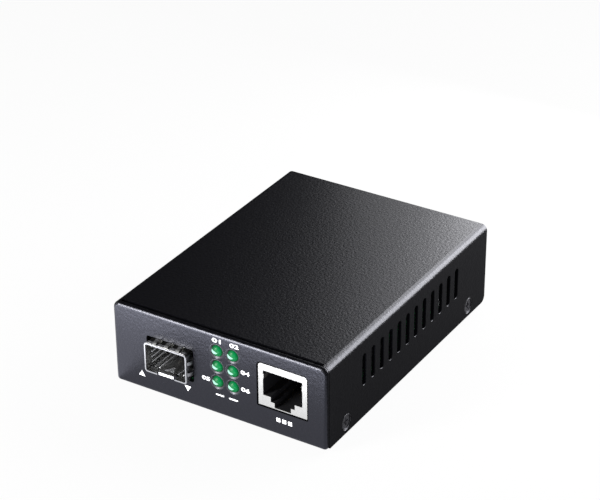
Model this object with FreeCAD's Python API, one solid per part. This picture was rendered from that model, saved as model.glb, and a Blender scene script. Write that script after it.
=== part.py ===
import FreeCAD, Part
import math
import os

# Fibre media converter in a folded steel housing, in millimetres.
# X runs to the right, Y to the back and Z up, seen from the front with the sockets.
# The origin is under the middle of the whole object, on the surface that it stands on.

# Steel housing
body_width = 71.0
body_depth = 94.5
body_height = 26.5
sheet = 1.0
cover_bend = 2.0
wall_edge_bend = 1.05
low_corner_extra = 0.1
high_corner_extra = 0.95
floor_bend = 1.4
lip_depth = 1.3
seam = 0.25
top_setback = 1.05
tuck_gap = 0.15
tuck_length = 5.0
rear_wall_recess = 0.25
rear_corner_extra = 0.2
side_flange_height = 8.5
cover_rear_corner = 2.0
cover_front_corner = 0.5

# Vent slots in each side of the cover
slot_count = 12
slot_pitch = 4.97
slot_shift_back = 0.5
slot_width = 2.05
slot_bottom = 10.6
slot_below_top = 5.7
slot_rim = 0.2

# Screws that hold the cover, two in each side
cover_screw_inset = 10.8
cover_screw_height = 3.7
screw_thread_radius = 1.4
thread_gap = 0.1
flat_head_radius = 2.2
flat_head_recess = 0.3
flat_screw_length = 4.0
cross_width = 0.6
cross_span = 2.6
cross_depth = 0.7

# Rubber feet
foot_radius = 4.0
foot_height = 1.5
foot_inset_x = 8.5
foot_inset_y = 9.5
foot_edge = 0.4

# Main board and what holds it
board_thickness = 1.6
board_lift = 5.7
solder_reach_share = 0.28
board_side_gap = 1.35
board_end_gap = 0.7
standoff_radius = 2.75
board_hole_gap = 0.2
board_hole_inset = 4.0
hole_behind_cage = 4.0
hole_behind_jack = 5.5
rear_hole = 20.0
pan_head_radius = 2.7
pan_head_height = 1.8
pan_screw_reach_share = 0.6

# Shares of the free width across the front: left of the cage, cage to lamps, lamps to jack
free_left_of_cage = 0.413
free_cage_to_lamps = 0.198
free_lamps_to_jack = 0.178

# Cage for the optical module
cage_width = 14.0
cage_height = 9.25
cage_wall = 0.25
cage_corner = 0.8
cage_length = 48.6
cage_reach = 2.5
cage_lift = 0.2
cage_rim = 0.15
cage_rim_depth = 0.35
cage_cut_side = 1.0
cage_cut_top = 1.0
cage_cut_bottom = 0.55
cage_cut_corner = 0.8
tongue_width = 5.1
tongue_length = 10.7
tongue_setback = 0.4
tongue_slit = 0.4
tongue_rise = 0.7
tongue_lip_length = 0.7
tongue_lip_bend = 0.15
tongue_hole_width = 3.2
tongue_hole_length = 2.9
tongue_hole_setback = 1.7
cage_pin_count = 5
cage_pin_start = 9.0
cage_pin_end = 5.6
cage_pin_width = 0.9
pin_gap = 0.2

# Spring collar round the cage
collar_thickness = 0.15
collar_gap = 0.05
collar_band_length = 1.2
collar_edge = 0.25
finger_reach = 1.4
finger_clearance = 0.1
finger_width = 1.1
finger_slit = 0.2
patch_share = 0.6
top_fingers = 3
side_fingers = 2

# Host connector inside the cage
host_side_gap = 0.65
host_depth = 8.0
host_height = 5.4
host_from_back = 1.4
host_well_gap = 0.35
host_slot_border = 1.2
host_slot_height = 1.4
host_slot_depth = 4.5
host_slot_lift = 2.4
host_contact_count = 10
host_contact_width = 0.35
host_contact_thickness = 0.25

# Network jack
jack_width = 15.75
jack_height = 13.6
jack_depth = 21.3
jack_recess = 0.2
jack_wall = 0.3
jack_corner = 1.0
jack_cut_gap = 0.45
insert_gap = 0.1
port_cheek = 1.525
port_top = 2.15
port_sill = 3.4
port_depth = 13.0
step_width = 7.8
step_drop = 1.6
notch_width = 5.3
notch_drop = 1.55
contact_count = 8
contact_pitch = 1.02
contact_thickness = 0.4
contact_front = 3.2
contact_knee = 5.0
contact_back = 11.0
contact_drop = 1.9
contact_top_gap = 0.3
shield_tab_thickness = 0.2
shield_tab_height = 1.6
shield_tab_below_top = 1.1
shield_tab_length = 4.0
shield_tab_crown = 1.6
shield_tab_bulge = 0.2
shield_tab_gap = 0.05
peg_radius = 1.6
peg_spacing = 11.4
peg_setback = 9.0
peg_length = 1.5
peg_gap = 0.15

# Indicator lamps
lamp_columns = 2
lamp_rows = 3
lamp_space_x = 0.9
lamp_space_z = 0.77
lamp_drop = 0.37
lamp_hole_rim = 0.2
lamp_radius = 1.8
lamp_nose = 1.35
lamp_gap = 0.25
lamp_proud = 0.35
lamp_length = 5.6
lamp_flange = 0.35
lamp_flange_depth = 1.0
holder_gap = 0.25
holder_border = 0.6
holder_wall_gap = 0.2
lead_side = 0.5
lead_spacing = 2.0
lead_first = 0.9
lead_step = 1.3
lead_hole_gap = 0.2

# Power inlet at the rear
inlet_margin = 16.0
inlet_width = 9.0
inlet_height = 11.0
inlet_depth = 14.2
inlet_recess = 0.2
inlet_cut_gap = 0.3
inlet_corner = 0.5
inlet_axis_drop = 4.6
inlet_socket_radius = 3.15
inlet_socket_depth = 10.0
inlet_nose_depth = 3.4
inlet_shoulder_drop = 0.8
inlet_pin_radius = 1.0
inlet_pin_setback = 0.9
leaf_thickness = 0.3
leaf_width = 2.0
leaf_length = 7.0
leaf_gap = 0.05
tab_width = 2.4
tab_thickness = 0.5
tab_near = 3.0
tab_far = 9.0
tab_slot_gap = 0.2

# Heat-generating chip and its heat sink
chip_side = 14.0
chip_height = 1.0
pad_border = 1.0
pad_height = 0.5
sink_overhang = 1.5
sink_base = 1.6
sink_height = 8.0
fin_count = 7
fin_thickness = 1.0

# Other parts on the board, as width, depth and height
transformer_size = (17.6, 12.2, 5.8)
transformer_behind_jack = 9.0
memory_gap = 3.4
inductor_margin = 8.0
part_gap = 2.6
memory_size = (5.2, 5.3, 1.7)
crystal_size = (11.2, 4.7, 3.4)
regulator_size = (6.6, 6.2, 2.0)
inductor_size = (7.3, 7.3, 4.0)
fuse_size = (4.6, 3.2, 1.6)
diode_size = (4.3, 2.6, 2.2)
package_edge = 0.3
electrolytic_radius = 4.0
electrolytic_height = 11.5
electrolytic_groove = 0.35
electrolytic_spacing = 10.0
electrolytic_from_back = 12.0
chip_resistor_size = (2.0, 1.2, 0.6)
chip_capacitor_size = (2.0, 1.2, 1.1)
chip_row_pitch = 2.6
resistor_count = 6
capacitor_count = 6

# Points closer than this are one point
same_place = 1e-6

# Places worked out from the sizes above
half_width = body_width / 2
front_y = cage_reach - (body_depth + cage_reach) / 2
rear_y = front_y + body_depth
bottom_z = foot_height
top_z = bottom_z + body_height
floor_top = bottom_z + sheet
board_bottom = floor_top + board_lift
board_top = board_bottom + board_thickness
lip_inner = sheet + tuck_gap
tuck_inner = lip_inner + sheet
ceiling = top_z - tuck_inner

low_corner = wall_edge_bend + low_corner_extra
high_corner = wall_edge_bend + high_corner_extra
rear_wall_y = rear_y - rear_wall_recess
cover_front = front_y + lip_depth + seam
screw_z = bottom_z + cover_screw_height
screw_ys = (front_y + cover_screw_inset, rear_y - cover_screw_inset)

board_half = half_width - tuck_inner - board_side_gap
board_front = front_y + sheet + board_end_gap
board_rear = rear_wall_y - sheet - board_end_gap
solder_end = board_bottom - board_lift * solder_reach_share
board_hole_radius = screw_thread_radius + board_hole_gap

lamp_pitch_x = 2 * (lamp_radius + lamp_flange) + lamp_space_x
lamp_pitch_z = 2 * (lamp_radius + lamp_flange) + lamp_space_z
holder_reach = (lamp_columns - 1) / 2 * lamp_pitch_x + lamp_radius + lamp_flange + holder_gap + holder_border
free_width = body_width - cage_width - 2 * holder_reach - jack_width

cage_left = -half_width + free_width * free_left_of_cage
cage_right = cage_left + cage_width
cage_x = (cage_left + cage_right) / 2
cage_front = front_y - cage_reach
cage_back = cage_front + cage_length
cage_bottom = board_top + cage_lift
cage_top = cage_bottom + cage_height
cage_pin_pitch = (cage_length - cage_pin_start - cage_pin_end) / (cage_pin_count - 1)
host_width = cage_width - 2 * (cage_wall + host_side_gap)
host_slot_width = host_width - 2 * host_slot_border
host_contact_pitch = host_slot_width / (host_contact_count + 2)

lamp_x = cage_right + free_width * free_cage_to_lamps + holder_reach
lamp_z = (board_top + ceiling) / 2 - lamp_drop

jack_left = lamp_x + holder_reach + free_width * free_lamps_to_jack
jack_right = jack_left + jack_width
jack_x = (jack_left + jack_right) / 2
jack_front = front_y + jack_recess
jack_back = jack_front + jack_depth
jack_top = board_top + jack_height
port_width = jack_width - 2 * port_cheek
port_ceiling = jack_top - port_top
port_floor = board_top + port_sill

lamp_tip = front_y - lamp_proud
lamp_back = lamp_tip + lamp_length
holder_front = front_y + sheet + holder_wall_gap

inlet_right = half_width - inlet_margin
inlet_left = inlet_right - inlet_width
inlet_x = (inlet_left + inlet_right) / 2
inlet_z = board_top + inlet_height - inlet_axis_drop
inlet_face = rear_y - inlet_recess
inlet_front = inlet_face - inlet_depth
socket_end = inlet_face - inlet_socket_depth

board_hole_x = board_half - board_hole_inset
board_holes = (
    (-board_hole_x, cage_back + hole_behind_cage),
    (board_hole_x, jack_back + hole_behind_jack),
    (-board_hole_x, rear_y - rear_hole),
    (board_hole_x, rear_y - rear_hole),
)

transformer_front = jack_back + transformer_behind_jack
transformer_rear = transformer_front + transformer_size[1]
can_y = rear_y - electrolytic_from_back
pad_side = chip_side - 2 * pad_border
sink_side = chip_side + 2 * sink_overhang
chip_x = (cage_right + jack_x - transformer_size[0] / 2) / 2
chip_y = (transformer_rear + can_y - electrolytic_radius) / 2


def vector(x, y, z):
    return FreeCAD.Vector(x, y, z)


def block(x0, x1, y0, y1, z0, z1):
    return Part.makeBox(x1 - x0, y1 - y0, z1 - z0, vector(x0, y0, z0))


def post(x, y, z0, z1, radius):
    return Part.makeCylinder(radius, z1 - z0, vector(x, y, z0))


def rod(x, z, y0, y1, radius):
    return Part.makeCylinder(radius, y1 - y0, vector(x, y0, z), vector(0, 1, 0))


def across_x(u, v):
    return vector(0, u, v)


def across_z(u, v):
    return vector(u, v, 0)


def profile(points, place):
    corners = [place(u, v) for u, v in points]
    return Part.Face(Part.makePolygon(corners + corners[:1]))


def rounded_profile(x0, x1, z0, z1, y, radii):
    """An upright rectangle with a radius for each corner, from lower left by lower right to upper left."""
    def place(u, v):
        return vector(u, y, v)

    corners = ((x0, z0), (x1, z0), (x1, z1), (x0, z1))
    inward = ((1, 1), (-1, 1), (-1, -1), (1, -1))
    edges = []
    ends = []
    for turn, ((x, z), (dx, dz), radius) in enumerate(zip(corners, inward, radii)):
        along_x = (x + dx * radius, z)
        along_z = (x, z + dz * radius)
        ends.append((along_z, along_x) if turn % 2 == 0 else (along_x, along_z))
        if radius > 0:
            lean = radius * (1 - math.sqrt(0.5))
            middle = (x + dx * lean, z + dz * lean)
            start, end = ends[-1]
            edges.append(Part.Arc(place(*start), place(*middle), place(*end)).toShape())
    for turn in range(len(ends)):
        start = ends[turn][1]
        end = ends[(turn + 1) % len(ends)][0]
        edges.append(Part.LineSegment(place(*start), place(*end)).toShape())
    return Part.Face(Part.Wire(Part.__sortEdges__(edges)))


def slab_y(x0, x1, z0, z1, y0, y1, radii):
    """A rounded rectangle seen from the front, as deep as y0 to y1."""
    return rounded_profile(x0, x1, z0, z1, y0, radii).extrude(vector(0, y1 - y0, 0))


def housing_slab(inset, low, y0, y1, lower, upper):
    """The housing's front outline, drawn in at its sides and top by an inset and raised at its foot."""
    radii = (lower, lower, upper, upper)
    return slab_y(-half_width + inset, half_width - inset, bottom_z + low, top_z - inset, y0, y1, radii)


def fused(shapes):
    first, *others = shapes
    return first.fuse(others).removeSplitter() if others else first


def edges_at(shape, test):
    return [edge for edge in shape.Edges if all(test(vertex.Point) for vertex in edge.Vertexes)]


def strip(points, thickness, place, start, width, direction):
    """A sheet strip bent along a line of points, with mitred bends."""
    count = len(points)
    sides = ([], [])
    for index, (u, v) in enumerate(points):
        before = points[max(index - 1, 0)]
        after = points[min(index + 1, count - 1)]
        into = math.atan2(v - before[1], u - before[0]) if index > 0 else None
        out = math.atan2(after[1] - v, after[0] - u) if index < count - 1 else into
        into = out if into is None else into
        angle = (into + out) / 2
        reach = thickness / 2 / math.cos((out - into) / 2)
        for side, sign in zip(sides, (1, -1)):
            side.append((u - sign * reach * math.sin(angle), v + sign * reach * math.cos(angle)))
    face = profile(sides[0] + sides[1][::-1], place)
    face.translate(start)
    return face.extrude(direction * width)


def cross_recess(center, direction, side_a, side_b):
    """The cross cut in a screw's head, from its face inwards."""
    cuts = []
    for long_way, short_way in ((side_a, side_b), (side_b, side_a)):
        corner = center - long_way * (cross_span / 2) - short_way * (cross_width / 2)
        face = Part.Face(Part.makePolygon([
            corner,
            corner + long_way * cross_span,
            corner + long_way * cross_span + short_way * cross_width,
            corner + short_way * cross_width,
            corner,
        ]))
        cuts.append(face.extrude(direction * cross_depth))
    return fused(cuts)


# Steel housing

def front_wall():
    """The front wall with its rounded edge, its lip, and the flange that tucks under the cover."""
    lip_end = front_y + lip_depth
    plate = housing_slab(0, 0, front_y, lip_end, low_corner, high_corner)
    rim = edges_at(plate, lambda point: abs(point.y - front_y) < same_place)
    plate = plate.makeFillet(wall_edge_bend, rim)
    plate = plate.cut(housing_slab(tuck_inner, sheet, front_y + sheet, lip_end, 0, 0))
    tuck_end = lip_end + tuck_length
    tuck = housing_slab(lip_inner, 0, lip_end, tuck_end, floor_bend, cover_bend - tuck_gap)
    hollow = housing_slab(tuck_inner, sheet, lip_end, tuck_end, floor_bend - sheet, cover_bend - lip_inner)
    return plate.fuse(tuck.cut(hollow))


def rear_wall():
    """The rear wall, which stands inside the cover's end, with its flange turned forward."""
    flange_end = rear_wall_y - sheet - tuck_length
    corner = wall_edge_bend + rear_corner_extra
    plate = housing_slab(lip_inner, 0, flange_end, rear_wall_y, corner, corner)
    rim = edges_at(plate, lambda point: abs(point.y - rear_wall_y) < same_place)
    plate = plate.makeFillet(wall_edge_bend, rim)
    hollow = housing_slab(tuck_inner, sheet, flange_end, rear_wall_y - sheet, corner - sheet, corner - sheet)
    return plate.cut(hollow)


def floor_tray():
    """The floor and its two upturned sides, which stand inside the cover."""
    side = half_width - lip_inner
    outer = (floor_bend, floor_bend, 0, 0)
    inner = (floor_bend - sheet, floor_bend - sheet, 0, 0)
    y0 = front_y + lip_depth
    y1 = rear_wall_y - sheet - tuck_length
    tray = slab_y(-side, side, bottom_z, bottom_z + side_flange_height, y0, y1, outer)
    hollow = slab_y(-side + sheet, side - sheet, floor_top, top_z, y0, y1, inner)
    return tray.cut(hollow)


def cage_opening():
    return slab_y(
        cage_left - cage_cut_side, cage_right + cage_cut_side,
        cage_bottom - cage_cut_bottom, cage_top + cage_cut_top,
        front_y, front_y + sheet, (cage_cut_corner,) * 4)


def jack_opening():
    return slab_y(
        jack_left - jack_cut_gap, jack_right + jack_cut_gap,
        board_top - jack_cut_gap, jack_top + jack_cut_gap,
        front_y, front_y + sheet,
        (jack_cut_gap, jack_cut_gap, jack_corner + jack_cut_gap, jack_corner + jack_cut_gap))


def inlet_opening():
    return slab_y(
        inlet_left - inlet_cut_gap, inlet_right + inlet_cut_gap,
        board_top - inlet_cut_gap, board_top + inlet_height + inlet_cut_gap,
        rear_wall_y - sheet, rear_wall_y, (inlet_corner,) * 4)


def lamp_places():
    places = []
    for row in range(lamp_rows):
        for column in range(lamp_columns):
            x = lamp_x + (column - (lamp_columns - 1) / 2) * lamp_pitch_x
            z = lamp_z + ((lamp_rows - 1) / 2 - row) * lamp_pitch_z
            places.append((x, z))
    return places


def chassis():
    body = fused([front_wall(), rear_wall(), floor_tray()])
    cuts = [cage_opening(), jack_opening(), inlet_opening()]
    for x, z in lamp_places():
        hole = lamp_radius + lamp_gap
        cuts.append(rod(x, z, front_y, front_y + sheet, hole))
        cuts.append(Part.makeCone(hole + lamp_hole_rim, hole, lamp_hole_rim,
                                  vector(x, front_y, z), vector(0, 1, 0)))
    for side in (-1, 1):
        for y in screw_ys:
            cuts += screw_cuts(side, y)
    return body.cut(cuts).removeSplitter()


def vent_slots(side):
    """The row of upright slots in one side, each with round ends."""
    radius = slot_width / 2
    inner = side * (half_width - 2 * sheet)
    outer = side * (half_width + sheet)
    x0, x1 = sorted((inner, outer))
    middle_y = (front_y + rear_y) / 2 + slot_shift_back
    low = bottom_z + slot_bottom + radius
    high = top_z - slot_below_top - radius
    slots = []
    for index in range(slot_count):
        y = middle_y + (index - (slot_count - 1) / 2) * slot_pitch
        ends = [Part.makeCylinder(radius, x1 - x0, vector(x0, y, z), vector(1, 0, 0)) for z in (low, high)]
        slots.append(fused([block(x0, x1, y - radius, y + radius, low, high)] + ends))
    return slots


def flat_head_cone(side, y, radius, shift):
    """A countersink or screw head: a cone that narrows inwards at 45 degrees."""
    start = vector(side * (half_width - shift), y, screw_z)
    height = radius - screw_thread_radius
    return Part.makeCone(radius, screw_thread_radius, height, start, vector(-side, 0, 0))


def screw_cuts(side, y):
    """The dimple and the hole for one cover screw, through the cover's side and the flange behind it."""
    hole = Part.makeCylinder(screw_thread_radius + thread_gap, 2 * tuck_inner,
                             vector(side * half_width, y, screw_z), vector(-side, 0, 0))
    return [flat_head_cone(side, y, flat_head_radius + thread_gap + flat_head_recess, 0), hole]


def top_cover():
    bend = (0, 0, cover_bend, cover_bend)
    inner_bend = (0, 0, cover_bend - sheet, cover_bend - sheet)
    shell = slab_y(-half_width, half_width, bottom_z, top_z, cover_front, rear_y, bend)
    hollow = slab_y(
        -half_width + sheet, half_width - sheet, bottom_z, top_z - sheet, cover_front, rear_y, inner_bend)
    shell = shell.cut(hollow)
    for end_y, radius in ((cover_front, cover_front_corner), (rear_y, cover_rear_corner)):
        corners = edges_at(shell, lambda point: abs(point.z - bottom_z) < same_place
                           and abs(point.y - end_y) < same_place)
        shell = shell.makeFillet(radius, corners)
    top_front = cover_front + top_setback
    top_side = half_width - cover_bend
    setback = block(-top_side, top_side, cover_front, top_front, top_z - sheet, top_z)
    for side_x in (-top_side, top_side):
        corners = edges_at(setback, lambda point: abs(point.y - top_front) < same_place
                           and abs(point.x - side_x) < same_place)
        setback = setback.makeFillet(cover_front_corner, corners)
    shell = shell.cut(setback)
    slots = []
    dimples = []
    for side in (-1, 1):
        slots += vent_slots(side)
        for y in screw_ys:
            dimples += screw_cuts(side, y)
    shell = shell.cut(slots)
    slot_low = bottom_z + slot_bottom - same_place
    slot_high = top_z - slot_below_top + same_place
    rims = edges_at(shell, lambda point: abs(abs(point.x) - half_width) < same_place
                    and slot_low < point.z < slot_high)
    return shell.makeFillet(slot_rim, rims).cut(dimples).removeSplitter()


def cover_screws():
    screws = []
    for side in (-1, 1):
        for y in screw_ys:
            inward = vector(-side, 0, 0)
            head_face = vector(side * (half_width - flat_head_recess), y, screw_z)
            head = flat_head_cone(side, y, flat_head_radius, flat_head_recess)
            shank = Part.makeCylinder(screw_thread_radius, flat_screw_length, head_face, inward)
            recess = cross_recess(head_face, inward, vector(0, 1, 0), vector(0, 0, 1))
            screws.append(head.fuse(shank).removeSplitter().cut(recess))
    return Part.makeCompound(screws)


def rubber_feet():
    feet = []
    for side in (-1, 1):
        for y in (front_y + foot_inset_y, rear_y - foot_inset_y):
            foot = post(side * (half_width - foot_inset_x), y, 0, foot_height, foot_radius)
            rim = edges_at(foot, lambda point: abs(point.z) < same_place)
            feet.append(foot.makeFillet(foot_edge, rim))
    return Part.makeCompound(feet)


# Board and fasteners

def main_board():
    board = block(-board_half, board_half, board_front, board_rear, board_bottom, board_top)
    cuts = [post(x, y, board_bottom, board_top, board_hole_radius) for x, y in board_holes]
    cuts += [post(x, y, board_bottom, board_top, cage_pin_width / 2 + pin_gap) for x, y in cage_pin_places()]
    cuts += [post(x, y, board_bottom, board_top, peg_radius + peg_gap) for x, y in peg_places()]
    for x, y, _ in lead_places():
        cuts.append(post(x, y, board_bottom, board_top, lead_side / 2 + lead_hole_gap))
    for x0, x1, y0, y1 in tab_places():
        cuts.append(block(x0 - tab_slot_gap, x1 + tab_slot_gap, y0 - tab_slot_gap, y1 + tab_slot_gap,
                          board_bottom, board_top))
    return board.cut(cuts)


def board_standoffs():
    posts = []
    for x, y in board_holes:
        bore = post(x, y, floor_top, board_bottom, screw_thread_radius + thread_gap)
        posts.append(post(x, y, floor_top, board_bottom, standoff_radius).cut(bore))
    return Part.makeCompound(posts)


def board_screws():
    screws = []
    for x, y in board_holes:
        head = post(x, y, board_top, board_top + pan_head_height, pan_head_radius)
        crown = edges_at(head, lambda point: abs(point.z - board_top - pan_head_height) < same_place)
        head = head.makeFillet(pan_head_height / 2, crown)
        shank = post(x, y, board_bottom - board_lift * pan_screw_reach_share, board_top, screw_thread_radius)
        top = vector(x, y, board_top + pan_head_height)
        recess = cross_recess(top, vector(0, 0, -1), vector(1, 0, 0), vector(0, 1, 0))
        screws.append(head.fuse(shank).cut(recess))
    return Part.makeCompound(screws)


# Cage for the optical module

def cage_pin_places():
    places = []
    for x in (cage_left + cage_wall / 2, cage_right - cage_wall / 2):
        for index in range(cage_pin_count):
            places.append((x, cage_front + cage_pin_start + index * cage_pin_pitch))
    return places


def cage_tube(inset, y0, y1):
    corner = max(cage_corner - inset, 0)
    return slab_y(cage_left + inset, cage_right - inset, cage_bottom + inset, cage_top - inset,
                  y0, y1, (corner,) * 4)


def latch_tongue():
    """The springy strip that holds the module, cut from the cage's floor on three sides."""
    level = cage_bottom + cage_wall / 2
    root = cage_front + tongue_length + tongue_setback
    tip = cage_front + tongue_setback
    line = (
        (root, level),
        (tip + tongue_lip_length, level + tongue_rise),
        (tip, level + tongue_rise - tongue_lip_bend),
        (tip - tongue_lip_bend, level - cage_rim),
    )
    start = vector(cage_x - tongue_width / 2, 0, 0)
    tongue = strip(line, cage_wall, across_x, start, tongue_width, vector(1, 0, 0))
    back = cage_front + tongue_hole_setback + tongue_hole_length
    hole = profile((
        (cage_x - tongue_hole_width / 2, cage_front + tongue_hole_setback),
        (cage_x + tongue_hole_width / 2, cage_front + tongue_hole_setback),
        (cage_x, back),
    ), across_z)
    hole.translate(vector(0, 0, cage_bottom - cage_height / 2))
    return tongue.cut(hole.extrude(vector(0, 0, cage_height)))


def tongue_window():
    slot = tongue_width / 2 + tongue_slit
    return block(cage_x - slot, cage_x + slot, cage_front, cage_front + tongue_length + tongue_setback,
                 cage_bottom - cage_rim - tongue_rise, cage_bottom + cage_wall)


def sfp_cage():
    shell = cage_tube(0, cage_front, cage_back)
    rim = cage_tube(-cage_rim, cage_front, cage_front + cage_rim_depth)
    shell = shell.fuse(rim).cut(cage_tube(cage_wall, cage_front, cage_back - cage_wall))
    well = host_width / 2 + host_well_gap
    host_hole = block(cage_x - well, cage_x + well, cage_back - host_from_back - host_depth - host_well_gap,
                      cage_back - cage_wall, cage_bottom, cage_bottom + cage_wall)
    shell = shell.cut([tongue_window(), host_hole])
    pins = [
        block(x - cage_wall / 2, x + cage_wall / 2, y - cage_pin_width / 2, y + cage_pin_width / 2,
              solder_end, cage_bottom + cage_corner)
        for x, y in cage_pin_places()
    ]
    return fused([shell, latch_tongue()] + pins)


def finger(root, tip, lift, place, start, width, direction):
    """One arched contact finger, from the band to its tip, with its crown near the wall's cut-out."""
    chord = tip - root
    middle = (tip + root) / 2
    radius = (chord * chord / 4 + lift * lift) / (2 * lift)
    half_angle = math.asin(chord / 2 / radius)
    center = collar_gap + lift - radius

    def at(angle, r):
        return place(middle + r * math.sin(angle), center + r * math.cos(angle))

    crown = radius + collar_thickness
    outer = Part.Arc(at(-half_angle, crown), at(0, crown), at(half_angle, crown)).toShape()
    inner = Part.Arc(at(-half_angle, radius), at(0, radius), at(half_angle, radius)).toShape()
    sides = [
        Part.LineSegment(at(sign * half_angle, radius), at(sign * half_angle, crown)).toShape()
        for sign in (-1, 1)
    ]
    face = Part.Face(Part.Wire(Part.__sortEdges__([outer, inner] + sides)))
    face.translate(start)
    return face.extrude(direction * width)


def finger_middles(count, length):
    """Places of the fingers along one side of the collar, with a flat patch at each end and between them."""
    pitch = length / (count + patch_share)
    return [(index - (count - 1) / 2) * pitch for index in range(count)]


def sfp_spring_collar():
    """A thin band round the cage behind its rim, with fingers that arch back into the wall's cut-out."""
    band_y = cage_front + cage_rim_depth
    band_end = band_y + collar_band_length
    root = band_y + collar_thickness
    tip = front_y + finger_reach
    reach = collar_gap + collar_thickness
    top_lift = cage_cut_top - reach - finger_clearance
    side_lift = cage_cut_side - reach - finger_clearance
    slit = finger_width / 2 + finger_slit
    middle_z = (cage_bottom + cage_top) / 2
    openings = [cage_tube(-collar_gap, band_y, band_end), tongue_window()]
    fingers = []
    for offset in finger_middles(top_fingers, cage_width):
        x = cage_x + offset
        openings.append(block(x - slit, x + slit, band_y + collar_edge, band_end, cage_top, cage_top + reach))
        fingers.append(finger(root, tip, top_lift, lambda u, v: vector(0, u, cage_top + v),
                              vector(x - finger_width / 2, 0, 0), finger_width, vector(1, 0, 0)))
    for offset in finger_middles(side_fingers, cage_height):
        z = middle_z + offset
        for side, wall_x in ((-1, cage_left), (1, cage_right)):
            x0, x1 = sorted((wall_x, wall_x + side * reach))
            openings.append(block(x0, x1, band_y + collar_edge, band_end, z - slit, z + slit))
            fingers.append(finger(root, tip, side_lift,
                                  lambda u, v, s=side, w=wall_x: vector(w + s * v, u, 0),
                                  vector(0, 0, z - finger_width / 2), finger_width, vector(0, 0, 1)))
    band = cage_tube(-reach, band_y, band_end).cut(openings)
    return fused([band] + fingers)


def host_box():
    back = cage_back - host_from_back
    return (cage_x - host_width / 2, cage_x + host_width / 2, back - host_depth, back,
            board_top, board_top + host_height)


def host_slot_floor():
    return board_top + host_slot_lift


def sfp_host_connector():
    x0, x1, y0, y1, z0, z1 = host_box()
    housing = block(x0, x1, y0, y1, z0, z1)
    nose = edges_at(housing, lambda point: abs(point.y - y0) < same_place)
    housing = housing.makeChamfer(package_edge, nose)
    slot = block(cage_x - host_slot_width / 2, cage_x + host_slot_width / 2, y0, y0 + host_slot_depth,
                 host_slot_floor(), host_slot_floor() + host_slot_height)
    return housing.cut(slot)


def sfp_contacts():
    """Gold contact blades along the floor of the connector's slot."""
    _, _, y0, _, _, _ = host_box()
    blades = []
    for index in range(host_contact_count):
        x = cage_x + (index - (host_contact_count - 1) / 2) * host_contact_pitch
        blades.append(block(x - host_contact_width / 2, x + host_contact_width / 2,
                            y0 + package_edge, y0 + host_slot_depth,
                            host_slot_floor(), host_slot_floor() + host_contact_thickness))
    return Part.makeCompound(blades)


# Network jack

def port_profile(y0, y1):
    """The jack's opening: a wide part, a step and the narrow notch for the plug's latch."""
    parts = (
        (port_width, port_floor, port_ceiling),
        (step_width, port_floor - step_drop, port_floor),
        (notch_width, port_floor - step_drop - notch_drop, port_floor - step_drop),
    )
    return fused([
        block(jack_x - width / 2, jack_x + width / 2, y0, y1, z0, z1)
        for width, z0, z1 in parts
    ])


def peg_places():
    return [(jack_x + side * peg_spacing / 2, jack_front + peg_setback) for side in (-1, 1)]


def rj45_shield():
    """Plated sheet folded round the jack, open underneath, with the stepped window in its face."""
    corner = (0, 0, jack_corner, jack_corner)
    inner = (0, 0, jack_corner - jack_wall, jack_corner - jack_wall)
    shell = slab_y(jack_left, jack_right, board_top, jack_top, jack_front, jack_back, corner)
    hollow = slab_y(jack_left + jack_wall, jack_right - jack_wall, board_top, jack_top - jack_wall,
                    jack_front + jack_wall, jack_back - jack_wall, inner)
    shell = shell.cut([hollow, port_profile(jack_front, jack_front + jack_wall)])
    return fused([shell] + [shield_tab(side) for side in (-1, 1)])


def shield_tab(side):
    """The small spring at each side of the window, which turns inwards and bears on the plug."""
    edge = port_width / 2 - shield_tab_thickness / 2
    wall_middle = jack_front + jack_wall / 2
    line = (
        (jack_x + side * (edge + jack_wall), wall_middle),
        (jack_x + side * edge, wall_middle),
        (jack_x + side * (edge - shield_tab_bulge), jack_front + shield_tab_crown),
        (jack_x + side * (edge - shield_tab_gap), jack_front + shield_tab_length),
    )
    low = port_ceiling - shield_tab_below_top - shield_tab_height
    return strip(line, shield_tab_thickness, across_z, vector(0, 0, low), shield_tab_height, vector(0, 0, 1))


def rj45_insert():
    side = jack_wall + insert_gap
    body = slab_y(jack_left + side, jack_right - side, board_top, jack_top - side,
                  jack_front + side, jack_back - side, (0, 0, jack_corner - side, jack_corner - side))
    cavity = port_profile(jack_front + side, jack_front + side + port_depth)
    body = body.cut(cavity)
    pegs = [post(x, y, board_top - peg_length, board_top, peg_radius) for x, y in peg_places()]
    return fused([body] + pegs)


def rj45_contacts():
    """Eight spring wires that slope down and back from the roof of the opening."""
    top = port_ceiling - contact_top_gap - contact_thickness / 2
    line = (
        (jack_front + contact_front, top),
        (jack_front + contact_knee, top),
        (jack_front + contact_back, top - contact_drop),
        (jack_front + jack_wall + insert_gap + port_depth, top - contact_drop),
    )
    wires = []
    for index in range(contact_count):
        x = jack_x + (index - (contact_count - 1) / 2) * contact_pitch - contact_thickness / 2
        wires.append(strip(line, contact_thickness, across_x, vector(x, 0, 0), contact_thickness,
                           vector(1, 0, 0)))
    return Part.makeCompound(wires)


# Indicator lamps

def lamp(x, z):
    """A lens with a round nose and a flange at its back."""
    lens = rod(x, z, lamp_tip, lamp_back, lamp_radius)
    nose = edges_at(lens, lambda point: abs(point.y - lamp_tip) < same_place)
    lens = lens.makeFillet(lamp_nose, nose)
    flange = rod(x, z, lamp_back - lamp_flange_depth, lamp_back, lamp_radius + lamp_flange)
    return lens.fuse(flange).removeSplitter()


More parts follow.
